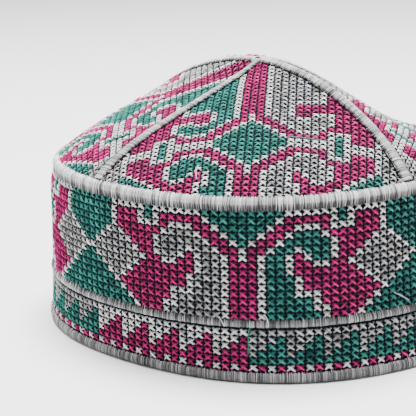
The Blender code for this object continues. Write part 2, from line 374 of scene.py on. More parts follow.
class Board:
    """A new material's node tree, with a Principled shader ready on it."""

    def __init__(self, name: str) -> None:
        """Makes the material of that name."""
        self.material = bpy.data.materials.new(name)
        self.material.use_nodes = True
        self.nodes = self.material.node_tree.nodes
        self.links = self.material.node_tree.links
        self.shader = self.nodes["Principled BSDF"]

    def add(self, kind: str, settings: Dict[str, object], sockets: Dict[Union[str, int], Value],
            output: Union[str, int] = 0) -> Wire:
        """Adds one node.

        Args:
            kind: the node's type.
            settings: its own settings, or ramp stops under "stops", set first.
            sockets: values or wires for its inputs.
            output: which output to give back.

        Returns:
            The wire of that output.
        """
        node = self.nodes.new(kind)
        for key, value in settings.items():
            if key == "stops":
                self._set_stops(node, value)
            else:
                setattr(node, key, value)
        for key, value in sockets.items():
            self.feed(node.inputs[key], value)
        return Wire(self, node.outputs[output])

    @staticmethod
    def _set_stops(node: bpy.types.Node, stops: Sequence[Tuple[float, Tuple[float, ...]]]) -> None:
        """Sets a ramp's stops.

        Args:
            node: the ramp's node.
            stops: a place from 0 to 1 and a colour for each stop.
        """
        ramp = node.color_ramp
        while len(ramp.elements) < len(stops):
            ramp.elements.new(1.0)
        for element, (place, colour) in zip(ramp.elements, stops):
            element.position = place
            element.color = (*colour, 1.0)

    def feed(self, socket: bpy.types.NodeSocket, value: Value) -> None:
        """Links a wire to a socket, or sets its value.

        Args:
            socket: the input.
            value: a wire, a number or a colour.
        """
        if isinstance(value, Wire):
            self.links.new(value.socket, socket)
        elif isinstance(value, tuple) and len(value) == 3 and socket.type == "RGBA":
            socket.default_value = (*value, 1.0)
        else:
            socket.default_value = value

    def math(self, operation: str, left: Value, right: Value) -> Wire:
        """Adds a Math node."""
        return self.add("ShaderNodeMath", {"operation": operation}, {0: left, 1: right})

    def mix(self, factor: Value, first: Value, second: Value) -> Wire:
        """Mixes two colours."""
        return self.add("ShaderNodeMix", {"data_type": "RGBA"}, {0: factor, 6: first, 7: second}, 2)

    def attribute(self, name: str) -> Wire:
        """Reads a number that the mesh carries."""
        return self.add("ShaderNodeAttribute", {"attribute_name": name}, {}, "Fac")

    def noise(self, scale: float, detail: float = 2.0) -> Wire:
        """Noise in the object's own space, with its scale in features per metre."""
        place = self.add("ShaderNodeTexCoord", {}, {}, "Object")
        return self.add("ShaderNodeTexNoise", {}, {"Vector": place, "Scale": scale,
                                                   "Detail": detail})

    def bump(self, height: Wire, distance: float, strength: float) -> Wire:
        """Turns a height into a normal."""
        return self.add("ShaderNodeBump", {}, {"Height": height, "Distance": distance,
                                               "Strength": strength}, "Normal")

    def finish(self, **sockets: Value) -> bpy.types.Material:
        """Feeds the shader's sockets.

        Args:
            **sockets: values or wires by socket name, with underscores for spaces.

        Returns:
            The material.
        """
        for key, value in sockets.items():
            self.feed(self.shader.inputs[key.replace("_", " ")], value)
        return self.material


@dataclass(frozen=True)
class ThreadFinish:
    """Shiny embroidery thread of one dye, as it varies from thread to thread.

    A thread's shade runs from 0, painted shade where it lies in the dark, over deep to 1, bright;
    it mixes random tone with painted light and shade.
    """

    name: str
    # colour at shade 0: the painted-shade colour
    dark: Triple
    deep: Triple
    bright: Triple
    roughness: float = 0.42
    gloss: float = 0.22
    deep_place: float = 0.3
    twist: float = 0.45 * MM

    def make(self) -> bpy.types.Material:
        """Builds the material: dye with painted light and shade, twist and worn gloss."""
        board = Board(self.name)
        shade = board.attribute("shade")
        fade = shade * 0.9 + board.noise(900.0) * 0.3 - 0.1
        # The ramp turns random tone and painted light and shade into colour.
        dye = board.add("ShaderNodeValToRGB", {"stops": (
            (0.0, self.dark), (self.deep_place, self.deep), (1.0, self.bright))}, {0: fade})
        twist = board.add("ShaderNodeMath", {"operation": "SINE"},
                          {0: board.attribute("run") * (2 * math.pi / self.twist)})
        return board.finish(
            Base_Color=dye, Roughness=self.roughness + 0.2 * (1 - shade),
            Specular_IOR_Level=self.gloss, Normal=board.bump(twist * 0.5 + 0.5, 0.05 * MM, 0.5))


@dataclass(frozen=True)
class ClothFinish:
    """Plain woven cotton ground, nearly black."""

    name: str = "ground_cotton"
    deep: Triple = (0.002, 0.003, 0.005)
    bright: Triple = (0.008, 0.010, 0.016)
    weave: float = 0.5 * MM

    def make(self) -> bpy.types.Material:
        """Builds the material: warp and weft as two crossed waves over the cloth's own map."""
        board = Board(self.name)
        plan = board.add("ShaderNodeUVMap", {"uv_map": "chart"}, {}, "UV")
        waves = [board.add("ShaderNodeTexWave", {"bands_direction": direction},
                           {"Vector": plan, "Scale": 0.314 / self.weave, "Distortion": 0.6})
                 for direction in ("X", "Y")]
        weave = waves[0] * waves[1]
        tone = weave * 0.7 + board.noise(160.0) * 0.3
        return board.finish(
            Base_Color=board.mix(tone, self.deep, self.bright),
            Roughness=0.95 - 0.15 * weave, Specular_IOR_Level=0.06,
            Normal=board.bump(weave, 0.08 * MM, 0.6))


@dataclass(frozen=True)
class PaddingFinish:
    """Dark felted padding under the satin threads."""

    name: str = "satin_padding"
    deep: Triple = (0.012, 0.012, 0.015)
    bright: Triple = (0.05, 0.05, 0.055)

    def make(self) -> bpy.types.Material:
        """Builds the material: short matted fibres."""
        board = Board(self.name)
        fibres = board.noise(2600.0, 4.0)
        return board.finish(Base_Color=board.mix(fibres, self.deep, self.bright),
                            Roughness=0.8 + 0.15 * fibres, Specular_IOR_Level=0.15,
                            Normal=board.bump(fibres, 0.1 * MM, 0.6))


@dataclass(frozen=True)
class FloorFinish:
    """Plain pale studio floor."""

    name: str = "studio_floor"
    colour: Triple = (0.92, 0.92, 0.92)

    def make(self) -> bpy.types.Material:
        """Builds the material with a faint mottle."""
        board = Board(self.name)
        low = tuple(0.99 * c for c in self.colour)
        return board.finish(Base_Color=board.mix(board.noise(3.0), low, self.colour),
                            Roughness=0.9, Specular_IOR_Level=0.1)


class Finishes:
    """Every finish of the cap, made once."""

    def __init__(self) -> None:
        """Makes the materials."""
        self.thread = {
            Colour.MAGENTA: ThreadFinish("thread_magenta", (0.05, 0.002, 0.017),
                                         (0.35, 0.010, 0.115), (0.80, 0.022, 0.27)).make(),
            Colour.GREEN: ThreadFinish("thread_green", (0.002, 0.02, 0.017),
                                       (0.013, 0.14, 0.115), (0.07, 0.42, 0.355)).make(),
            Colour.GREY: ThreadFinish("thread_grey", (0.03, 0.03, 0.03),
                                      (0.29, 0.29, 0.29), (0.78, 0.78, 0.77)).make(),
            Colour.WHITE: ThreadFinish("thread_white", (0.16, 0.16, 0.157),
                                       (0.78, 0.78, 0.77), (0.98, 0.98, 0.97)).make(),
        }
        self.satin = ThreadFinish("satin_grey", (0.02, 0.02, 0.024), (0.17, 0.17, 0.175),
                                  (0.92, 0.92, 0.91), gloss=0.35).make()
        self.padding = PaddingFinish().make()
        self.cloth = ClothFinish().make()
        self.floor = FloorFinish().make()


# Mesh building

@dataclass
class Piece:
    """A mesh that is filled with strands and sheets and then put on the frame."""

    name: str
    material: bpy.types.Material
    slot: str
    points: List[np.ndarray] = field(default_factory=list)
    quads: List[np.ndarray] = field(default_factory=list)
    triangles: List[np.ndarray] = field(default_factory=list)
    shade: List[np.ndarray] = field(default_factory=list)
    run: List[np.ndarray] = field(default_factory=list)
    chart: List[np.ndarray] = field(default_factory=list)
    count: int = 0

    def _take(self, points: np.ndarray, shade: np.ndarray, run: np.ndarray,
              chart: np.ndarray) -> int:
        """Adds points and what they carry.

        Args:
            points: their places, with x, y, z last.
            shade: a number for each point, or one that spreads to them.
            run: length along the thread, given in the same way.
            chart: two lengths on the cloth, given in the same way.

        Returns:
            The index of the first point.
        """
        start = self.count
        self.points.append(points.reshape(-1, 3))
        self.shade.append(np.broadcast_to(shade, points.shape[:-1]).reshape(-1))
        self.run.append(np.broadcast_to(run, points.shape[:-1]).reshape(-1))
        self.chart.append(np.broadcast_to(chart, points.shape[:-1] + (2,)).reshape(-1, 2))
        self.count += self.points[-1].shape[0]
        return start

    def add_strands(self, rings: np.ndarray, shade: np.ndarray) -> None:
        """Adds closed strands.

        Args:
            rings: strands x rings x 3 x 3, each ring going left, over the top, right.
            shade: a number for each strand, or for each strand and ring, from dark to bright.
        """
        strands, count, sides, _ = rings.shape
        steps = np.linalg.norm(np.diff(rings.mean(axis=2), axis=1), axis=-1)
        run = np.concatenate([np.zeros((strands, 1)), np.cumsum(steps, axis=1)], axis=1)
        run = np.repeat(run[:, :, None], sides, axis=2)
        shade = shade.reshape(strands, -1, 1)
        start = self._take(rings, shade, run, np.zeros(2))
        index = start + np.arange(strands * count * sides).reshape(strands, count, sides)
        low, high = index[:, :-1], index[:, 1:]
        self.quads.append(np.stack([low, np.roll(low, -1, axis=2), np.roll(high, -1, axis=2),
                                    high], axis=-1).reshape(-1, 4))
        self.triangles += [index[:, 0, ::-1], index[:, -1]]

    def add_shell(self, outer: np.ndarray, inner: np.ndarray, closed: bool,
                  chart: np.ndarray) -> None:
        """Adds a closed shell between two grids of points.

        Args:
            outer: rows x columns x 3 points of the outer face, going up and to the right.
            inner: the same of the inner face.
            closed: whether the last column meets the first.
            chart: rows x columns x 2 lengths along and up the cloth.
        """
        rows, columns, _ = outer.shape
        first = self._take(outer, np.full((rows, columns), 0.5), 0.0, chart)
        second = self._take(inner, np.full((rows, columns), 0.5), 0.0, chart)
        face = np.arange(rows * columns).reshape(rows, columns)
        if closed:
            face = np.concatenate([face, face[:, :1]], axis=1)
        a, b, c, d = face[:-1, :-1], face[:-1, 1:], face[1:, 1:], face[1:, :-1]
        self.quads.append(np.stack([a, b, c, d], axis=-1).reshape(-1, 4) + first)
        self.quads.append(np.stack([d, c, b, a], axis=-1).reshape(-1, 4) + second)
        edges = [(face[0, 1:], face[0, :-1]), (face[-1, :-1], face[-1, 1:])]
        if not closed:
            edges += [(face[:-1, 0], face[1:, 0]), (face[1:, -1], face[:-1, -1])]
        for near, far in edges:
            self.quads.append(np.stack([near + first, far + first, far + second,
                                        near + second], axis=-1))

    def place(self, *replaced: str) -> None:
        """Makes the object and puts it on the frame.

        Args:
            *replaced: nodes that it stands for.
        """
        mesh = bpy.data.meshes.new(self.name)
        points = np.concatenate(self.points)
        quads = np.concatenate(self.quads)
        triangles = np.concatenate(self.triangles) if self.triangles else np.zeros((0, 3), int)
        corners = np.concatenate([quads.reshape(-1), triangles.reshape(-1)])
        starts = np.concatenate([np.arange(len(quads)) * 4,
                                 len(quads) * 4 + np.arange(len(triangles)) * 3])
        mesh.vertices.add(len(points))
        mesh.vertices.foreach_set("co", points.astype(np.float32).reshape(-1))
        mesh.loops.add(len(corners))
        mesh.loops.foreach_set("vertex_index", corners.astype(np.int32))
        mesh.polygons.add(len(starts))
        mesh.polygons.foreach_set("loop_start", starts.astype(np.int32))
        mesh.update(calc_edges=True)
        for name, values in (("shade", self.shade), ("run", self.run)):
            layer = mesh.attributes.new(name, "FLOAT", "POINT")
            layer.data.foreach_set("value", np.concatenate(values).astype(np.float32))
        chart = np.concatenate(self.chart)[corners]
        mesh.uv_layers.new(name="chart").data.foreach_set(
            "uv", chart.astype(np.float32).reshape(-1))
        mesh.shade_smooth()
        mesh.materials.append(self.material)
        thing = bpy.data.objects.new(self.name, mesh)
        bpy.context.scene.collection.objects.link(thing)
        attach(thing, BODY)
        if replaced:
            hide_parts(*replaced)
        LOG.info("%s: %d triangles", self.name, 2 * len(quads) + len(triangles))


# Stitches

@dataclass(frozen=True)
class Leg:
    """One leg of a cross stitch: a fan of strands from edge to edge of its cell.

    The cell runs from -0.5 to 0.5 to the right and up. Starts and ends are given for a leg
    that rises to the left, and facing is -1 for its mirror image.
    """

    starts: Tuple[Pair, ...]
    ends: Tuple[Pair, ...]
    places: Tuple[float, ...]
    facing: float
    level: float
    sunk: float = -0.50 * MM

    def lines(self) -> Tuple[np.ndarray, np.ndarray]:
        """Centre lines of the strands.

        Returns:
            Strands x rings x 2 cell places, and a height for each ring.
        """
        t = np.array(self.places)[None, :, None]
        lines = np.array(self.starts)[:, None] * (1 - t) + np.array(self.ends)[:, None] * t
        lines[..., 0] *= self.facing
        heights = np.full(len(self.places), self.level)
        heights[[0, -1]] = self.sunk
        return lines, heights


@dataclass(frozen=True)
class StitchForm:
    """One full cross stitch: the leg that rises to the left lies over the other.

    Attributes:
        legs: the under leg and the upper leg.
        half_width: half a strand's width.
        height: a strand's height.
        wobble: how far each strand's ends stray, as a share of the cell.
        drift: how far the whole stitch strays.
        painted_end_shade: painted shade, how much darker a strand is where it goes into the cloth.
        strand_shade: how much the shade varies from strand to strand.
        stitch_shade: how much it varies from stitch to stitch.
        middle_shade: shade of a mean strand.
        uneven_width: how much the width varies from strand to strand.
        uneven_level: how much the level varies.
    """

    legs: Tuple[Leg, Leg]
    half_width: float = 0.12 * MM
    height: float = 0.20 * MM
    wobble: float = 0.025
    drift: float = 0.02
    painted_end_shade: float = 0.35
    strand_shade: float = 0.3
    stitch_shade: float = 0.1
    middle_shade: float = 0.55
    uneven_width: float = 0.1
    uneven_level: float = 0.035 * MM


TWO_BENDS = (0.0, 0.27, 0.73, 1.0)
ONE_BEND = (0.0, 0.5, 1.0)
UNDER_LEG = Leg(((-0.42, 0.36), (-0.34, 0.42), (-0.18, 0.42)),
                ((0.39, -0.45), (0.42, -0.39), (0.43, -0.29)), ONE_BEND, -1.0, -0.20 * MM)
# Both stitch forms paint shade on the strand ends where they go into the cloth.
WALL_STITCH = StitchForm((UNDER_LEG, Leg(
    ((-0.42, 0.32), (-0.39, 0.42), (-0.28, 0.44), (-0.15, 0.41)),
    ((0.38, -0.45), (0.42, -0.42), (0.43, -0.35), (0.43, -0.26)), TWO_BENDS, 1.0, 0.0)),
    painted_end_shade=0.5)
CROWN_STITCH = StitchForm((UNDER_LEG, Leg(
    ((-0.41, 0.31), (-0.34, 0.41), (-0.18, 0.40)),
    ((0.38, -0.43), (0.42, -0.38), (0.43, -0.28)), TWO_BENDS, 1.0, 0.0)),
    half_width=0.14 * MM, height=0.17 * MM, painted_end_shade=0.15)


@dataclass(frozen=True)
class Cell:
    """A stitch's place in its chart and its colour."""

    column: int
    row: int
    colour: Colour


class Embroidery:
    """Fills a surface with cross stitches, one mesh for each colour."""

    def __init__(self, name: str, form: StitchForm, finishes: Finishes, seed: int,
                 cell_size: Pair) -> None:
        """Keeps what all the stitches share.

        Args:
            name: the pieces' first name.
            form: the stitch's shape.
            finishes: where the threads come from.
            seed: start of its random numbers.
            cell_size: width and height of a cell.
        """
        self.name = name
        self.form = form
        self.finishes = finishes
        self.random = np.random.default_rng(seed)
        self.cell_size = cell_size

    def strands(self, cells: Sequence[Cell], leg: Leg) -> Tuple[np.ndarray, ...]:
        """Rings of one leg's strands in chart coordinates.

        Args:
            cells: the stitches to make.
            leg: the leg to make.

        Returns:
            Column places, row places and heights, each strands x rings x sides, and a shade
            for each strand and ring.
        """
        form = self.form
        lines, heights = leg.lines()
        count, strands, rings = len(cells), len(lines), len(heights)
        place = np.array([(cell.column, cell.row) for cell in cells], float)
        wobble = self.random.normal(0.0, form.wobble, (count, strands, 2, 1, 2))
        share = np.array(leg.places)[:, None]
        wobble = wobble[:, :, 0] * (1 - share) + wobble[:, :, 1] * share
        drift = self.random.normal(0.0, form.drift, (count, 1, 1, 2))
        line = lines[None] + wobble + drift
        size = np.array(self.cell_size)
        forward = unit(np.gradient(line * size, axis=2))
        left = np.stack([-forward[..., 1], forward[..., 0]], axis=-1) * form.half_width / size
        left *= 1 + self.random.normal(0.0, form.uneven_width, (count, strands, 1, 1))
        lift = heights[None, None] + self.random.normal(0.0, form.uneven_level,
                                                        (count, strands, 1))
        plan = np.stack([line + left, line, line - left], axis=3) + place[:, None, None, None]
        rise = np.stack([lift, lift + form.height, lift], axis=3)
        ends = np.isin(leg.places, (0.0, 1.0))
        # Random tone from stitch to stitch and strand to strand, less the painted shade at the
        # strand ends.
        shade = np.clip(form.middle_shade
                        + self.random.normal(0.0, form.stitch_shade, (count, 1, 1))
                        + self.random.normal(0.0, form.strand_shade, (count, strands, 1))
                        - form.painted_end_shade * ends, 0.0, 1.0)
        flat = (count * strands, rings, 3)
        return (plan[..., 0].reshape(flat), plan[..., 1].reshape(flat), rise.reshape(flat),
                shade.reshape(count * strands, rings))

    def sew(self, cells: Sequence[Cell], surface: "StitchedSurface") -> None:
        """Makes the pieces, one for each colour that the cells use.

        Args:
            cells: every stitch of the surface.
            surface: what they are sewn on.
        """
        for colour in Colour:
            chosen = [cell for cell in cells if cell.colour is colour]
            if not chosen:
                continue
            piece = Piece(f"{self.name}_{colour.name.lower()}", self.finishes.thread[colour],
                          CLOTH_SLOT)
            for leg in self.form.legs:
                column, row, out, shade = self.strands(chosen, leg)
                piece.add_strands(surface.stitched(column, row, out), shade)
            piece.place()


class StitchedSurface:
    """A surface that stitches are placed on by column and row."""

    def stitched(self, column: np.ndarray, row: np.ndarray, out: np.ndarray) -> np.ndarray:
        """Points at chart coordinates, moved outwards by out."""
        raise NotImplementedError


@dataclass(frozen=True)
class LooseThread:
    """A thread end that strays over the stitches.

    Attributes:
        colour: its dye.
        places: column, row and height over the stitched face of the points on its way.
        half_width: half its width.
        height: its height.
        shade: its shade.
        steps: rings from one point to the next.
    """

    colour: Colour
    places: Tuple[Triple, ...]
    half_width: float = 0.13 * MM
    height: float = 0.18 * MM
    shade: float = 0.7
    steps: int = 5

    def add_to(self, piece: Piece, surface: StitchedSurface) -> None:
        """Adds the thread's strand to a piece.

        Args:
            piece: what it goes into.
            surface: what it lies on.
        """
        bends = len(self.places) - 1
        way = np.linspace(0.0, bends, self.steps * bends + 1)
        line = np.stack([np.interp(way, np.arange(bends + 1), column)
                         for column in np.array(self.places).T], axis=1)
        line[1:-1] = (line[:-2] + line[2:]) / 4 + line[1:-1] / 2
        points = surface.stitched(line[:, 0], line[:, 1], line[:, 2])
        lift = unit(surface.stitched(line[:, 0], line[:, 1], line[:, 2] + MM) - points)
        side = unit(np.cross(lift, np.gradient(points, axis=0)))
        ring = np.stack([points + side * self.half_width, points + lift * self.height,
                         points - side * self.half_width], axis=1)
        piece.add_strands(ring[None], np.full(1, self.shade))


def stray(name: str, threads: Sequence[LooseThread], surface: StitchedSurface,
          finishes: Finishes) -> None:
    """Makes one piece of loose threads for each colour among them.

    Args:
        name: the pieces' first name.
        threads: the thread ends.
        surface: what they lie on.
        finishes: where their dyes come from.
    """
    for colour in dict.fromkeys(thread.colour for thread in threads):
        piece = Piece(f"{name}_loose_{colour.name.lower()}", finishes.thread[colour],
                      CLOTH_SLOT)
        for thread in threads:
            if thread.colour is colour:
                thread.add_to(piece, surface)
        piece.place()


def unroll(row: str, length: int) -> str:
    """Writes out a chart row.

    Args:
        row: runs of letters, such as "g2 w1 m+", where + repeats to the end.
        length: how many cells the row has.

    Returns:
        One letter for each cell.
    """
    cells = ""
    for run in row.split():
        cells += run[0] * (length - len(cells) if run[1:] == "+" else int(run[1:]))
    return cells


def dye(letter: str, half: Half) -> Colour:
    """Colour of a chart letter, where f is the fill of its half of the motif."""
    return Colour(half.value if letter == "f" else letter)


@dataclass
class SideWall(StitchedSurface):
    """Upright wall: ground cloth, the figured field and the toothed border.

    The field's chart has one line for each row from the top down, and runs from the middle
    of the motif to its edge. The border's rows are counted from its foot.
    """

    shape: WallShape
    finishes: Finishes
    columns: int = 164
    motif: int = 41
    field_top: float = 0.063402
    field_pitch: float = 0.0027424
    border_foot: float = 0.0057612
    border_pitch: float = 0.0026745
    cloth_depth: float = 0.0005
    cloth_thickness: float = 0.0018
    field_chart: Tuple[str, ...] = (
        "g5 w6 g1 w5 g4",
        "g4 w1 m5 w1 g1 w1 m3 w1 g4",
        "g3 w1 m2 w3 m1 w3 m3 w1 g4",
        "g2 w1 m2 w1 f3 w1 m6 w1 g4",
        "g1 w1 m2 w1 f5 w1 m4 w1 a1 w1 g3",
        "w1 m2 w1 f2 w1 f3 w1 m3 w1 a3 w1 g2",
        "w1 m1 w1 f2 w1 m1 w1 f2 w1 m2 w1 a5 w1 g1",
        "m2 w1 f2 w1 m2 w2 m2 w1 a7 w1",
        "m2 w1 f2 w1 m7 w1 a5 w1 g1",
        "m2 w1 f3 w1 m7 w1 a3 w1 g2",
        "m2 w1 f3 w1 m8 w1 a1 w1 g3",
        "m2 w1 f3 w3 m7 w1 g4",
        "m2 w1 f5 w1 m6 w1 g5",
        "m2 w1 f5 w2 m4 w1 g6",
        "m2 w1 f6 w1 m3 w1 g7")
    border_rows: int = 6
    tooth: int = 4
    magenta_teeth: int = 20
    cloth_rows: Tuple[Tuple[float, float, int], ...] = (
        (0.0018, 0.004, 2), (0.008, 0.030, 12), (0.034, 0.0650, 9))
    seeds: Tuple[int, int] = (11, 12)
    loose: Tuple[LooseThread, ...] = (
        LooseThread(Colour.GREEN, ((1.1, 0.0216, 0.0002), (0.62, 0.0209, 0.0003),
                                   (0.5, 0.0186, 0.0002), (0.52, 0.0150, 0.0001),
                                   (0.46, 0.0108, 0.0))),
        LooseThread(Colour.GREEN, ((2.45, 0.0500, 0.0002), (2.6, 0.0486, 0.0003))),
        LooseThread(Colour.WHITE, ((6.5, 0.0496, 0.0002), (6.75, 0.0482, 0.0004),
                                   (7.1, 0.0462, 0.0002))),
        LooseThread(Colour.WHITE, ((2.2, 0.0262, 0.0002), (2.55, 0.0247, 0.0006),
                                   (2.66, 0.0228, 0.0009), (2.6, 0.0214, 0.0004))),
        LooseThread(Colour.WHITE, ((-2.7, 0.0248, 0.0003), (-2.3, 0.0232, 0.0008),
                                   (-2.05, 0.0214, 0.0006))),
        LooseThread(Colour.GREY, ((17.0, 0.0298, 0.0003), (17.9, 0.0282, 0.0005),
                                  (19.0, 0.0257, 0.0003))))

    def stitched(self, column: np.ndarray, row: np.ndarray, out: np.ndarray) -> np.ndarray:
        """Points of the wall by column and by height in metres."""
        return self.shape.at(column / self.columns, row, out)

    def field_cells(self) -> Iterator[Cell]:
        """Stitches of the figured field: a motif and its mirror image, four times round."""
        half_motif = self.motif // 2
        for row, text in enumerate(self.field_chart):
            letters = unroll(text, half_motif + 1)
            for column in range(self.columns):
                place = (column + half_motif) % self.motif - half_motif
                half = Half.GREEN if place >= 0 else Half.GREY
                yield Cell(column, -row, dye(letters[abs(place)], half))

    def border_cells(self) -> Iterator[Cell]:
        """Stitches of the border: teeth that climb by one row a column, over a checked row."""
        for column in range(self.columns):
            magenta = (column + self.magenta_teeth - 1) % self.motif < self.magenta_teeth
            tooth = Colour.MAGENTA if magenta else Colour.GREEN
            sky = Colour.WHITE if magenta else Colour.GREY
            climb = (column - 1) % self.tooth + 1
            if column % 2:
                yield Cell(column, -1, Colour.MAGENTA)
            yield Cell(column, 0, Colour.WHITE if column % 2 else Colour.MAGENTA)
            for row in range(1, self.border_rows):
                yield Cell(column, row, tooth if row <= climb else sky)

    def build(self) -> None:
        """Makes the cloth and all the stitches of the wall."""
        height = np.concatenate([np.linspace(*rows) for rows in self.cloth_rows])[:, None]
        share = np.arange(self.columns)[None, :] / self.columns
        cloth = Piece("wall_cloth", self.finishes.cloth, CLOTH_SLOT)
        chart = np.stack(np.broadcast_arrays(share * self.shape.girth, height), axis=-1)
        cloth.add_shell(self.shape.at(share, height, -self.cloth_depth),
                        self.shape.at(share, height, -self.cloth_depth - self.cloth_thickness),
                        True, chart)
        cloth.place("side_wall")
        width = self.shape.girth / self.columns
        for name, seed, cells, first, pitch in (
                ("field", self.seeds[0], self.field_cells(), self.field_top, self.field_pitch),
                ("border", self.seeds[1], self.border_cells(), self.border_foot,
                 self.border_pitch)):
            sewing = Embroidery(name, WALL_STITCH, self.finishes, seed, (width, pitch))
            sewing.sew(list(cells), Band(self, first, pitch))
        stray("wall", self.loose, self, self.finishes)


@dataclass
class Band(StitchedSurface):
    """A band of the wall whose rows are counted from one height."""

    wall: SideWall
    first: float
    pitch: float

    def stitched(self, column: np.ndarray, row: np.ndarray, out: np.ndarray) -> np.ndarray:
        """Points of the band by column and row."""
        return self.wall.stitched(column, self.first + row * self.pitch, out)


@dataclass
class Gore(StitchedSurface):
    """One crown gore: ground cloth and a motif that stands on its middle line.

    The chart has one line for each row from the foot up, and runs from the middle column
    outwards. The last line repeats to the tip.
    """

    name: str
    middle: float
    left_half: Half
    shape: CrownShape
    finishes: Finishes
    seed: int
    loose: Tuple[LooseThread, ...] = ()
    pitch: float = 0.00304
    row_pitch: float = 0.002735
    first_row: float = 0.00429
    cloth_depth: float = 0.0005
    cloth_thickness: float = 0.0015
    skirt: float = 0.0010
    edge_cover: float = 0.0024
    seam_cover: float = 0.0015
    half_span: float = 0.075
    flat_share: float = 0.998
    flat_grid: Tuple[int, int] = (110, 151)
    line_grid: Tuple[int, int] = (241, 81)
    seam_gap: float = 0.0005
    most_trim: float = 0.45
    tip_rise: float = 0.9999
    cloth_rows: Tuple[Tuple[float, float, int], ...] = (
        (0.0, 0.0, 1), (0.004, 0.05, 5), (0.08, 0.94, 20), (0.965, 0.985, 2))
    cloth_columns: int = 29
    chart: Tuple[str, ...] = (
        "m2 w1 f3 w1 m+",
        "m2 w1 f3 w1 m3 w1 g+",
        "m2 w1 f2 w2 m4 w1 g+",
        "m2 w1 f2 w1 m2 w2 m2 w1 g7 a+",
        "w1 m1 w1 f2 w1 m1 w1 f2 w1 m2 w1 g5 a+",
        "w1 m2 w1 f2 w1 f3 w1 m3 w1 g3 a+",
        "g1 w1 m2 w1 f5 w1 m4 w1 g1 a+",
        "g2 w1 m2 w1 f3 w1 m6 w1 a+",
        "g3 w1 m2 w3 m1 w3 m3 w1 a+",
        "g4 w1 m5 w1 g1 w1 m3 w1 a+",
        "g5 w6 g1 w5 a+",
        "g5 w6 g1 w5 a+",
        "g4 w1 m5 w1 g1 w1 m3 w1 a+",
        "g3 w1 m2 w3 m1 w3 m3 w1 a+",
        "g2 w1 m2 w1 f3 w1 m6 w1 a+",
        "g1 w1 m2 w1 f5 w1 m+",
        "w1 m2 w1 f2 w2 f2 w1 m+",
        "w1 m1 w1 f2 w1 m2 w3 m+",
        "m2 w1 f2 w1 m+",
        "m2 w1 f2 w1 m+",
        "m2 w1 f3 w4 m+",
        "m2 w1 f6 w1 m+",
        "m2 w1 f6 w1 m+",
        "m2 w1 f+")
    widest: int = 24

    def __post_init__(self) -> None:
        """Lays the gore flat: rows at right angles to the middle line, as cloth is cut."""
        rise = eased(self.line_grid[0]) * self.shape.near_tip
        turn = np.linspace(-EIGHTH, EIGHTH, self.line_grid[1])
        grid = self.shape.at(self.middle + turn[None, :], rise[:, None])
        trunk = grid[:, len(turn) // 2]
        run = run_along(trunk)
        tangent = unit(np.gradient(trunk, run, axis=0))
        self.length = run[-1]
        self.levels = np.linspace(-self.skirt, self.length * self.flat_share, self.flat_grid[0])
        across = np.linspace(-self.half_span, self.half_span, self.flat_grid[1])
        sheet = np.zeros((*self.flat_grid, 3))
        self.half_widths = np.zeros((len(self.levels), 2))
        for k, level in enumerate(self.levels):
            point = np.array([np.interp(level, run, trunk[:, i]) for i in range(3)])
            along = np.array([np.interp(level, run, tangent[:, i]) for i in range(3)])
            if level < 0:
                point = trunk[0] + tangent[0] * level
            curve = self._crossing(grid, (grid - point) @ along)
            arc = run_along(curve)
            arc -= arc[len(turn) // 2]
            sheet[k] = self._stretched(across, arc, curve)
            self.half_widths[k] = -arc[0], arc[-1]
        self.sheet = Sheet(self.levels, across, sheet)

    @staticmethod
    def _crossing(grid: np.ndarray, side: np.ndarray) -> np.ndarray:
        """Finds where each line of a grid crosses a plane.

        Args:
            grid: points along each line, then the lines.
            side: distance of each point from the plane, below 0 on its near side.

        Returns:
            One point for each line.
        """
        first = np.argmax(side > 0, axis=0)
        first = np.where(side[-1] <= 0, len(side) - 1, np.maximum(first, 1))
        lines = np.arange(grid.shape[1])
        low, high = side[first - 1, lines], side[first, lines]
        share = np.where(np.abs(high - low) > 1e-12, -low / (high - low), 0.0)[:, None]
        share = np.where((side[-1] <= 0)[:, None], 1.0, np.minimum(share, 1.0))
        return grid[first - 1, lines] * (1 - share) + grid[first, lines] * share

    @staticmethod
    def _stretched(across: np.ndarray, arc: np.ndarray, curve: np.ndarray) -> np.ndarray:
        """Reads a curve by length, and carries it straight on past both ends.

        Args:
            across: lengths from the middle column.
            arc: lengths at the curve's points.
            curve: the curve's points.

        Returns:
            One point for each length.
        """
        points = np.stack([np.interp(across, arc, curve[:, i]) for i in range(3)], axis=-1)
        for beyond, end, inner in ((across < arc[0], 0, 2), (across > arc[-1], -1, -3)):
            slope = (curve[end] - curve[inner]) / max(abs(arc[end] - arc[inner]), 1e-9)
            excess = np.abs(across[beyond] - arc[end])[:, None]
            points[beyond] = curve[end] + slope * excess
        return points

    def stitched(self, column: np.ndarray, row: np.ndarray, out: np.ndarray) -> np.ndarray:
        """Points of the gore by column and row."""
        return self.sheet.at(self.first_row + row * self.row_pitch, column * self.pitch, out)

    def cells(self) -> Iterator[Cell]:
        """Stitches inside the seams and above the edge cord."""
        right_half = Half.GREY if self.left_half is Half.GREEN else Half.GREEN
        rows = int(self.length / self.row_pitch)
        for row in range(-1, rows):
            text = self.chart[min(max(row, 0), len(self.chart) - 1)]
            letters = unroll(text, self.widest + 1)
            level = self.first_row + row * self.row_pitch
            left = np.interp(level, self.levels, self.half_widths[:, 0])
            right = np.interp(level, self.levels, self.half_widths[:, 1])
            for column in range(-self.widest, self.widest + 1):
                place = column * self.pitch
                if place < -left + self.seam_cover or place > right - self.seam_cover:
                    continue
                middle = self.stitched(np.array([float(column)]), np.array([float(row)]),
                                       np.array([0.0]))[0]
                if self._below_edge(middle):
                    continue
                half = self.left_half if column < 0 else right_half
                yield Cell(column, row, dye(letters[abs(column)], half))

    def _below_edge(self, point: np.ndarray) -> bool:
        """Whether a point lies under the edge cord."""
        x, y = point[:2] - np.asarray(self.shape.wall.centring)
        radius = float(self.shape.foot_radius(np.array(math.atan2(x, -y))))
        distance = math.hypot(radius - math.hypot(x, y), point[2] - self.shape.foot)
        return distance < self.edge_cover or point[2] < self.shape.foot

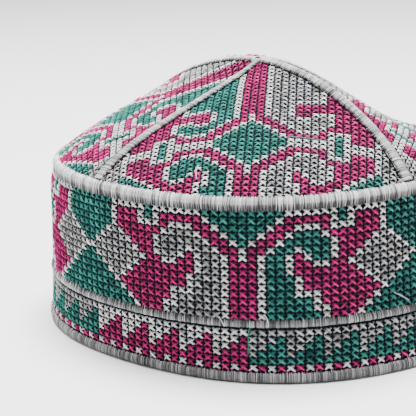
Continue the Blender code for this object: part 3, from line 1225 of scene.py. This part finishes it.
    def build(self) -> None:
        """Makes the gore's cloth and its stitches."""
        turn = np.linspace(-1.0, 1.0, self.cloth_columns)
        tip = self.shape.at(self.middle, self.tip_rise)[:2]
        outer, inner, chart = [], [], []
        for level in np.concatenate([np.linspace(*rows) for rows in self.cloth_rows]):
            reach = np.linalg.norm(self.shape.at(self.middle, level)[:2] - tip)
            trim = math.asin(min(self.seam_gap / max(reach, MM), self.most_trim))
            azimuth = self.middle + turn * (EIGHTH - trim)
            point = self.shape.at(azimuth, level)
            normal = self.shape.normal(azimuth, level)
            outer.append(point - normal * self.cloth_depth)
            inner.append(point - normal * (self.cloth_depth + self.cloth_thickness))
            chart.append(np.stack([turn * reach, np.full_like(turn, reach)], axis=-1))
        cloth = Piece(f"{self.name}_cloth", self.finishes.cloth, CLOTH_SLOT)
        cloth.add_shell(np.array(outer), np.array(inner), False, np.array(chart))
        cloth.place(self.name)
        sewing = Embroidery(self.name, CROWN_STITCH, self.finishes, self.seed,
                            (self.pitch, self.row_pitch))
        sewing.sew(list(self.cells()), self)
        stray(self.name, self.loose, self, self.finishes)


FRONT_LOOSE = (
    LooseThread(Colour.GREEN, ((4.4, 11.15, 0.0002), (5.1, 11.5, 0.0003), (6.5, 11.45, 0.0003),
                               (8.0, 11.3, 0.0003), (9.6, 11.15, 0.0002))),
    LooseThread(Colour.WHITE, ((-5.9, 5.5, 0.0002), (-6.15, 4.9, 0.0005), (-6.1, 4.1, 0.0005),
                               (-5.95, 2.8, 0.0002))))


# Satin edgings

@dataclass(frozen=True)
class SatinRing:
    """What every thread of an edging is like at one place along it.

    Attributes:
        half_width: half the thread's width.
        tone: how bright it is, from 0 to 1; painted light and shade by where the ring lies over the
            edge.
        loose: how far it goes with its tuft, from 0 to 1.
    """

    half_width: float
    tone: float
    loose: float = 0.0


@dataclass
class Satin:
    """Close rows of thread laid over an edge, on a dark padded core.

    Attributes:
        name: the node that it replaces.
        finishes: where thread and padding come from.
        seed: start of its random numbers.
        rings: what the threads are like from one side to the other.
        pitch: distance from thread to thread.
        height: a thread's height.
        unevenness: how much the tone varies from thread to thread.
        sway: how far a tuft leans.
        gather: how far a tuft's threads draw together, as a share of the pitch.
        tuft_sizes: least and most threads in a tuft.
        tuft_tone: how much the tone varies from tuft to tuft.
        uneven_level: how much the threads' level varies.
        uneven_width: how much their width varies.
        padding_stride: threads to one row of the padding.
        padding_depth: how far the padding lies under the threads.
        padding_thickness: its thickness.
    """

    name: str
    finishes: Finishes
    seed: int
    rings: Tuple[SatinRing, ...]
    pitch: float
    height: float = 0.17 * MM
    unevenness: float = 0.24
    sway: float = 0.07 * MM
    gather: float = 0.3
    tuft_sizes: Tuple[int, int] = (2, 4)
    tuft_tone: float = 0.06
    uneven_level: float = 0.035 * MM
    uneven_width: float = 0.12
    padding_stride: int = 6
    padding_depth: float = 0.22 * MM
    padding_thickness: float = 0.45 * MM

    def lay(self, paths: np.ndarray, closed: bool) -> None:
        """Makes the core and the threads, in place of the node of the edging's name.

        Args:
            paths: threads x rings x 3 points over the edge, one row for each thread.
            closed: whether the edging comes back to its start.
        """
        random = np.random.default_rng(self.seed)
        if closed:
            side = np.roll(paths, 1, axis=0) - np.roll(paths, -1, axis=0)
        else:
            side = -np.gradient(paths, axis=0)
        side = unit(side, 1e-9)
        lift = unit(np.cross(np.gradient(paths, axis=1), side), 1e-9)
        self._pad(paths, lift, closed)
        count = len(paths)
        tuft, pull = self._tufts(random, count)
        loose, widths, tone = (np.array([getattr(ring, key) for ring in self.rings])
                               for key in ("loose", "half_width", "tone"))
        paths = paths + side * pull[:, None, None] * loose[None, :, None]
        paths = paths + lift * random.normal(0.0, self.uneven_level, (count, 1, 1))
        widths = widths[None, :, None] * (1 + random.normal(0.0, self.uneven_width,
                                                            (count, 1, 1)))
        # Ring tones are painted light and shade; the tuft and thread terms are random tone.
        tone = tone[None] + tuft[:, None] + random.normal(0.0, self.unevenness, (count, 1))
        threads = Piece(f"{self.name}_satin", self.finishes.satin, SATIN_SLOT)
        threads.add_strands(np.stack([paths + side * widths, paths + lift * self.height,
                                      paths - side * widths], axis=2), np.clip(tone, 0.0, 1.0))
        threads.place(self.name)

    def _tufts(self, random: np.random.Generator, count: int) -> Tuple[np.ndarray, np.ndarray]:
        """Groups the threads in tufts.

        Args:
            random: source of random numbers.
            count: how many threads there are.

        Returns:
            What each thread adds to its tone, and how far it is pulled to the left.
        """
        least, most = self.tuft_sizes
        index = np.arange(count)
        group = np.repeat(index, random.integers(least, most + 1, count))[:count]
        middle = np.bincount(group, index) / np.maximum(np.bincount(group), 1)
        sway = random.normal(0.0, self.sway, len(middle))
        tone = random.normal(0.0, self.tuft_tone, len(middle))
        return tone[group], (index - middle[group]) * self.pitch * self.gather + sway[group]

    def _pad(self, paths: np.ndarray, lift: np.ndarray, closed: bool) -> None:
        """Makes the core under the threads, along the mean of every few paths.

        Args:
            paths: threads x rings x 3 points.
            lift: the outward direction at each point.
            closed: whether the edging comes back to its start.
        """
        core, lift = (thinned(grid, self.padding_stride).transpose(1, 0, 2)
                      for grid in (paths, lift))
        outer = core - lift * self.padding_depth
        inner = outer - lift * self.padding_thickness
        padding = Piece(f"{self.name}_padding", self.finishes.padding, SATIN_SLOT)
        padding.add_shell(outer, inner, closed, np.zeros((*core.shape[:2], 2)))
        padding.place(self.name)


def thinned(paths: np.ndarray, stride: int) -> np.ndarray:
    """Means of every few thread paths, as many as the stride says."""
    used = len(paths) // stride * stride
    return paths[:used].reshape(-1, stride, *paths.shape[1:]).mean(axis=1)


def jagged(random: np.random.Generator, count: int, reach: float) -> np.ndarray:
    """Uneven thread ends, by turns longer and shorter.

    Args:
        random: source of random numbers.
        count: how many threads there are.
        reach: how far they go, within a half or so.

    Returns:
        What each end adds to its length.
    """
    by_turns, by_chance = 0.3, 0.5
    turns = np.where(np.arange(count) % 2, by_turns, -by_turns)
    return (turns + random.normal(0.0, by_chance, count)) * reach


@dataclass
class Edgings:
    """The satin edgings of the wall, the crown's edge and the seams.

    Routes, jags and widths are in millimetres. A route says where the threads of an edging
    pass, and its rings say for each place the half-width, the tone and the looseness.

    Attributes:
        wall: the wall's shape.
        crown: the crown's shape.
        finishes: where thread, padding and cloth come from.
        pitch: distance from thread to thread, in metres.
        edge_on_wall: distances out and heights from the crown's foot.
        edge_corner: distance out where the wall and the crown meet.
        edge_on_crown: lengths up from the foot and distances out.
        edge_jags: how uneven the lower and the upper ends are.
        crown_rises: how many rises are sampled up the crown, and the highest.
        border_route: distances out and heights.
        border_jags: how uneven the upper and the lower ends are.
        rim_route: distances out and heights, from the inside round to the outside.
        rim_jag: how uneven the outer ends are.
        seam_route: shares of the half-width across the seam, and distances out.
        seam_widths: half-width at the tip, and what it gains as far out as the rim.
        seam_foot: length up the crown at which a seam starts.
        seam_stop: distance from the tip at which the two single seams end.
        seam_jag: how uneven a seam's ends are.
        even_tone: the tone's unevenness on the rim and the seams.
        line_samples: samples along a seam, and along each line that is searched for a reach.
        highest_normal: highest share of the rise at which a seam's normal is taken.
        seam_shadow_stride: threads to one ring of the dark lines beside a seam, a painted shadow.
        seam_shadow_width: half its width.
        seam_shadow_place: how far it lies beyond the satin's edge, and how high over it.
    """

    wall: WallShape
    crown: CrownShape
    finishes: Finishes
    pitch: float = 0.385 * MM
    edge_on_wall: Tuple[Pair, ...] = ((0.05, -2.7), (0.35, -1.7), (0.52, -0.5))
    edge_corner: float = 0.72
    edge_on_crown: Tuple[Pair, ...] = ((1.5, 0.70), (2.8, 0.08))
    edge_jags: Pair = (0.4, 0.35)
    # Ring tones paint light and shade: dark at the cord's lower ends on the wall, bright over the
    # corner and up the crown.
    edge_rings: Tuple[Triple, ...] = (
        (0.085, 0.12, 1.0), (0.10, 0.2, 0.75), (0.13, 0.4, 0.2), (0.155, 0.66, 0.0),
        (0.155, 0.74, 0.0), (0.13, 0.66, 0.5))
    crown_rises: Tuple[int, float] = (160, 0.25)
    border_route: Tuple[Pair, ...] = (
        (-0.15, 21.25), (0.40, 21.55), (0.60, 22.35), (0.42, 23.10), (0.0, 23.95))
    border_jags: Pair = (0.6, 0.08)
    border_rings: Tuple[Triple, ...] = (
        # Ring tones paint light and shade: brightest where the cord stands proudest, darker at its
        # ends.
        (0.13, 0.3, 0.3), (0.14, 0.42, 0.0), (0.13, 0.4, 0.0), (0.12, 0.3, 0.2),
        (0.10, 0.25, 0.4))
    rim_route: Tuple[Pair, ...] = (
        (-2.6, 3.5), (-3.35, 1.6), (-2.9, 0.36), (-0.4, 0.36), (0.62, 0.9), (0.90, 2.2),
        (0.66, 3.4), (0.0, 4.1))
    rim_jag: float = 0.4
    # Ring tones paint light and shade: a painted shadow line (tone 0) along the bottom, lighter
    # going up the outside.
    rim_rings: Tuple[Triple, ...] = (
        (0.16, 0.4, 0.0), (0.16, 0.4, 0.0), (0.16, 0.3, 0.0), (0.16, 0.0, 0.0),
        (0.14, 0.25, 0.1), (0.135, 0.36, 0.2), (0.13, 0.4, 0.3), (0.12, 0.5, 0.6))
    seam_route: Tuple[Pair, ...] = (
        (1.0, 0.20), (0.70, 0.68), (0.0, 0.86), (-0.70, 0.68), (-1.0, 0.20))
    seam_widths: Pair = (2.05, 0.55)
    seam_foot: float = 3.3
    seam_stop: float = 1.7
    seam_jag: float = 0.8
    # Ring tones paint light and shade: bright on the seam's crest, darker at its edges.
    seam_rings: Tuple[Triple, ...] = (
        (0.11, 0.4, 0.7), (0.16, 0.6, 0.1), (0.17, 0.66, 0.0), (0.16, 0.6, 0.1),
        (0.11, 0.4, 0.7))
    even_tone: float = 0.18
    line_samples: Tuple[int, int] = (1201, 401)
    highest_normal: float = 0.9985
    seam_shadow_stride: int = 10
    seam_shadow_width: float = 0.24
    seam_shadow_place: Pair = (0.75, 0.34)

    def around(self) -> int:
        """How many threads go round the cap."""
        return int(self.wall.girth / self.pitch)

    def satin(self, name: str, seed: int, rings: Sequence[Triple], **looks: float) -> Satin:
        """Readies one edging's satin.

        Args:
            name: the node that it replaces.
            seed: start of its random numbers.
            rings: half-width in millimetres, tone and looseness from one side to the other.
            **looks: what differs from the usual satin.

        Returns:
            The satin, still to be laid.
        """
        made = tuple(SatinRing(width * MM, tone, loose) for width, tone, loose in rings)
        return Satin(name, self.finishes, seed, made, self.pitch, **looks)

    def crown_edge(self) -> None:
        """Edging over the joint of the wall and the crown."""
        random = np.random.default_rng(31)
        count = self.around()
        azimuth = np.linspace(0.0, 2 * math.pi, count, endpoint=False)
        share = self.crown.share(azimuth)
        low, high = (jagged(random, count, jag * MM) for jag in self.edge_jags)
        (halfway, halfway_out), (top, top_out) = self.edge_on_crown
        runs = np.stack([np.full(count, halfway * MM), top * MM + high])
        (half_point, half_normal), (top_point, top_normal) = self._up_the_crown(azimuth, runs)
        foot = self.wall.at(share, self.crown.foot)
        level = unit(self.wall.at(share, self.crown.foot, MM) - foot)
        corner = foot + unit(level + half_normal) * self.edge_corner * MM
        path = [self.wall.at(share, self.crown.foot + height * MM - (low if end == 0 else 0.0),
                             out * MM) for end, (out, height) in enumerate(self.edge_on_wall)]
        path += [corner, half_point + half_normal * halfway_out * MM,
                 top_point + top_normal * top_out * MM]
        self.satin("crown_edge_cord", 32, self.edge_rings, sway=0.10 * MM, gather=0.38,
                   unevenness=0.28).lay(np.stack(path, axis=1), True)

    def _up_the_crown(self, azimuth: np.ndarray, runs: np.ndarray) -> List[Tuple[np.ndarray, ...]]:
        """Finds places up the crown.

        Args:
            azimuth: where each thread's line starts at the foot.
            runs: rows of lengths up from the foot, one for each thread.

        Returns:
            Points and normals for each row.
        """
        samples, highest = self.crown_rises
        rise = np.linspace(0.0, 1.0, samples) ** 2 * highest
        lines = self.crown.at(azimuth[:, None], rise[None, :])
        run = [run_along(line) for line in lines]
        found = []
        for wanted in runs:
            level = np.array([np.interp(w, r, rise) for w, r in zip(wanted, run)])
            found.append((self.crown.at(azimuth, level), self.crown.normal(azimuth, level)))
        return found

    def border(self) -> None:
        """Thin edging between the field and the toothed border."""
        random = np.random.default_rng(41)
        count = self.around()
        share = np.arange(count) / count
        high_jag, low_jag = self.border_jags
        high = jagged(random, count, high_jag * MM)
        low = random.normal(0.0, low_jag * MM, count)
        path = [self.wall.at(share, height * MM + stray_by, out * MM) for (out, height), stray_by
                in zip(self.border_route, (low, low, 0.0, 0.0, high))]
        self.satin("border_cord", 42, self.border_rings).lay(np.stack(path, axis=1), True)

    def rim(self) -> None:
        """Binding folded round the wall's bottom edge."""
        random = np.random.default_rng(51)
        count = self.around()
        share = np.arange(count) / count
        high = jagged(random, count, self.rim_jag * MM)
        path = [self.wall.at(share, height * MM, out * MM) for out, height in self.rim_route]
        out, height = self.rim_route[-1]
        path[-1] = self.wall.at(share, height * MM + high, out * MM)
        self.satin("rim_binding", 52, self.rim_rings,
                   unevenness=self.even_tone).lay(np.stack(path, axis=1), True)

    def seam(self, name: str, azimuths: Sequence[float], start: float, seed: int) -> None:
        """Edging along a seam; two azimuths make one that runs over the tip.

        Args:
            name: the node that it replaces.
            azimuths: the seam's azimuth, or both where it runs over the tip.
            start: distance from the tip at which a single one ends.
            seed: start of its random numbers.
        """
        random = np.random.default_rng(seed)
        rows = [self._seam_rows(azimuth, start, facing, random)
                for azimuth, facing in zip(azimuths, (1.0, -1.0))]
        path = rows[0] if len(rows) == 1 else np.concatenate([rows[0], rows[1][::-1]])
        self.satin(name, seed + 1, self.seam_rings, unevenness=self.even_tone).lay(path, False)
        # Painted shadow: dark lines laid over the stitches along both edges of the satin.
        self._bare_ground(name, path)

    def _bare_ground(self, name: str, path: np.ndarray) -> None:
        """Makes thin dark lines in the ground cloth's finish along both edges of a seam's satin,
        laid over the stitches as a painted shadow.

        Args:
            name: the seam's node.
            path: the satin's threads.
        """
        half_width = self.seam_shadow_width * MM
        beyond, over = (place * MM for place in self.seam_shadow_place)
        mean = thinned(path, self.seam_shadow_stride)
        lift = unit(mean[:, 2] - (mean[:, 0] + mean[:, 4]) / 2)
        piece = Piece(f"{name}_ground", self.finishes.cloth, SATIN_SLOT)
        for edge, inner, order in ((0, 1, 1), (-1, -2, -1)):
            away = unit(mean[:, edge] - mean[:, inner])
            line = mean[:, edge] + away * beyond + lift * over
            ring = np.stack([line + away * half_width, line + lift * half_width,
                             line - away * half_width], axis=1)[:, ::order]
            piece.add_strands(ring[None], np.zeros(1))
        piece.place()

    def _seam_rows(self, azimuth: float, start: float, facing: float,
                   random: np.random.Generator) -> np.ndarray:
        """Thread paths across one seam, from its foot to the tip.

        Args:
            azimuth: the seam's azimuth.
            start: distance from the tip at which it ends.
            facing: 1, or -1 for the mirror image that carries on past the tip.
            random: source of random numbers.

        Returns:
            Threads x rings x 3 points.
        """
        rise = eased(self.line_samples[0])
        line = self.crown.at(azimuth, rise)
        tip = line[-1, :2]
        reach = np.hypot(line[:, 0] - tip[0], line[:, 1] - tip[1])
        run = run_along(line)
        last = run[-1] if start == 0.0 else np.interp(-start, -reach, run)
        count = int((last - self.seam_foot * MM) / self.pitch)
        runs = np.linspace(self.seam_foot * MM, last, count)
        level = np.interp(runs, run, rise)
        out = np.interp(runs, run, reach)
        narrow, spread = self.seam_widths
        width = narrow * MM + spread * MM * out / self.wall.rim_radius
        normal = self.crown.normal(np.full(count, azimuth),
                                   np.minimum(level, self.highest_normal))
        points = []
        for across, up in self.seam_route:
            ragged = jagged(random, count, self.seam_jag * MM) if abs(across) == 1.0 else 0.0
            span = np.abs(across) * width + ragged
            swing = np.arctan2(span, np.maximum(out, 1e-5)) * np.sign(across) * facing
            surface = self._at_reach(azimuth + swing, np.hypot(out, span * (across != 0)))
            points.append(surface + normal * up * MM)
        return np.stack(points, axis=1)

    def _at_reach(self, azimuth: np.ndarray, reach: np.ndarray) -> np.ndarray:
        """Finds crown points by their plan distance from the tip.

        Args:
            azimuth: where each point's line starts at the foot.
            reach: its distance from the tip.

        Returns:
            One row of x, y, z for each point.
        """
        rise = eased(self.line_samples[1])
        lines = self.crown.at(azimuth[:, None], rise[None, :])
        tip = lines[:, -1:, :2]
        reaches = np.hypot(lines[..., 0] - tip[..., 0], lines[..., 1] - tip[..., 1])
        level = np.array([np.interp(-w, -r, rise) for w, r in zip(reach, reaches)])
        return self.crown.at(azimuth, level)

    def build(self) -> None:
        """Makes all the edgings."""
        self.crown_edge()
        self.border()
        self.rim()
        self.seam("seam_over_tip", (-EIGHTH, 3 * EIGHTH), 0.0, 61)
        self.seam("seam_front_right", (EIGHTH,), self.seam_stop * MM, 71)
        self.seam("seam_back_left", (-3 * EIGHTH,), self.seam_stop * MM, 81)


# Studio

@dataclass
class Studio:
    """Pale floor, soft lights and the camera."""

    finishes: Finishes
    target: Triple = (-0.0006, 0.00074, 0.043444)
    distance: float = 0.560
    elevation: float = math.radians(14.2986)
    roll: float = math.radians(-0.7448)
    focal_pixels: float = 1322.95
    image_pixels: float = 416.0
    shift_pixels: Pair = (58.006, -1.010)
    sensor: float = 36.0
    floor_half: float = 6.0
    sky: float = 0.40
    lights: Tuple[Tuple[str, Triple, float, float], ...] = (
        ("key", (-0.5, -0.9, 1.5), 0.9, 12.0),
        ("top", (0.0, 0.15, 1.6), 0.8, 112.0),
        ("fill", (1.2, -1.0, 0.6), 1.0, 3.0))

    def camera(self) -> None:
        """Puts the camera where the photograph was taken from."""
        data = bpy.data.cameras.new("camera")
        data.sensor_width = self.sensor
        data.lens = self.focal_pixels / self.image_pixels * data.sensor_width
        data.shift_x = -self.shift_pixels[0] / self.image_pixels
        data.shift_y = self.shift_pixels[1] / self.image_pixels
        data.clip_start, data.clip_end = 0.01, 20.0
        thing = bpy.data.objects.new("camera", data)
        back = Vector((0.0, -math.cos(self.elevation), math.sin(self.elevation)))
        turn = (-back).to_track_quat("-Z", "Y").to_matrix().to_4x4()
        place = Matrix.Translation(Vector(self.target) + back * self.distance)
        thing.matrix_world = place @ turn @ Matrix.Rotation(self.roll, 4, "Z")
        bpy.context.scene.collection.objects.link(thing)
        bpy.context.scene.camera = thing

    def light(self, name: str, place: Triple, size: float, power: float) -> None:
        """Adds a square soft light that faces the cap.

        Args:
            name: its name.
            place: where it hangs.
            size: its side.
            power: its power in watts.
        """
        data = bpy.data.lights.new(name, "AREA")
        data.size = size
        data.energy = power
        thing = bpy.data.objects.new(name, data)
        thing.location = place
        aim = Vector(self.target) - Vector(place)
        thing.rotation_euler = aim.to_track_quat("-Z", "Y").to_euler()
        bpy.context.scene.collection.objects.link(thing)

    def floor(self) -> None:
        """Adds a wide plain floor."""
        mesh = bpy.data.meshes.new("floor")
        size = self.floor_half
        mesh.from_pydata([(-size, -size, 0), (size, -size, 0), (size, size, 0), (-size, size, 0)],
                         [], [(0, 1, 2, 3)])
        mesh.materials.append(self.finishes.floor)
        thing = bpy.data.objects.new("floor", mesh)
        bpy.context.scene.collection.objects.link(thing)

    def build(self) -> None:
        """Makes the whole studio."""
        self.floor()
        self.camera()
        for light in self.lights:
            self.light(*light)
        world = bpy.data.worlds.new("world")
        world.use_nodes = True
        background = world.node_tree.nodes["Background"]
        background.inputs["Color"].default_value = (1.0, 1.0, 1.0, 1.0)
        background.inputs["Strength"].default_value = self.sky
        bpy.context.scene.world = world


def main() -> None:
    """Builds the cap's looks and the studio."""
    logging.basicConfig(level=logging.INFO, format="%(message)s")
    finishes = Finishes()
    wall = WallShape()
    crown = CrownShape(wall)
    SideWall(wall, finishes).build()
    quarter = 2 * EIGHTH
    for turn, name, left_half, loose in (
            (0, "gore_front", Half.GREEN, FRONT_LOOSE), (1, "gore_right", Half.GREY, ()),
            (2, "gore_back", Half.GREEN, ()), (-1, "gore_left", Half.GREY, ())):
        Gore(name, turn * quarter, left_half, crown, finishes, 21 + turn, loose).build()
    Edgings(wall, crown, finishes).build()
    Studio(finishes).build()


if __name__ == "__main__":
    main()
